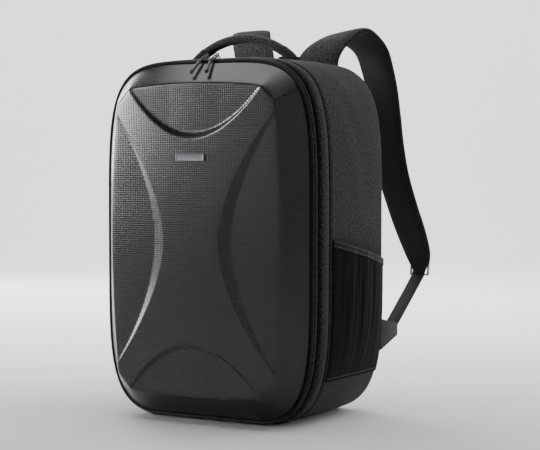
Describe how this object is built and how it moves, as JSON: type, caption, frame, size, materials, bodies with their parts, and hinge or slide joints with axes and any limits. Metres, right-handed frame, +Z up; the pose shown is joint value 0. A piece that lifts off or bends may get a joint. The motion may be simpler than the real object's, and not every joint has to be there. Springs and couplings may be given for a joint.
{
  "type": "hard shell backpack",
  "caption": "Upright hard shell backpack with a moulded zip-on front shell, fabric body, carry handle, mesh side pockets and padded shoulder straps.",
  "frame": {"origin": "middle of the flat base that the backpack stands on", "axes": "+Z up along the backpack's height, -Y out of the moulded front shell, +Y towards the wearer's back, +X to the right as seen from the front"},
  "size_m": [0.355, 0.3858, 0.5352],
  "materials": {
    "shell": "glossy black moulded sheet with a fine square weave emboss",
    "badge": "blank satin plate, dark grey",
    "body_fabric": "dark grey heathered plain weave",
    "padding": "dark grey heathered weave over foam",
    "trim": "black woven tape and webbing",
    "mesh": "black elastic mesh",
    "buckle": "satin grey moulded plastic",
    "slider": "black painted metal",
    "pull": "satin black rubber grip on a wire loop"
  },
  "bodies": {
    "root": {"shell": "shell", "badge": "badge", "zip_tape": "trim", "lid_piping": "body_fabric", "zip_coil": "trim", "front_frame": "body_fabric", "seam_piping": "body_fabric", "gusset": "body_fabric", "base_panel": "body_fabric", "back_piping": "body_fabric", "back_panel": "padding", "pocket_mesh_right": "mesh", "pocket_mesh_left": "mesh", "pocket_band_right": "trim", "pocket_band_left": "trim", "handle": "padding", "handle_tab_right": "trim", "handle_tab_left": "trim", "strap_pad_right": "padding", "strap_pad_left": "padding", "strap_loop_right": "trim", "strap_loop_left": "trim", "adjuster_right": "buckle", "adjuster_left": "buckle", "webbing_right": "trim", "webbing_left": "trim", "corner_tab_right": "body_fabric", "corner_tab_left": "body_fabric", "zip_slider_left": "slider", "zip_slider_right": "slider", "zip_pull_left": "pull", "zip_pull_right": "pull"}
  },
  "joints": []
}
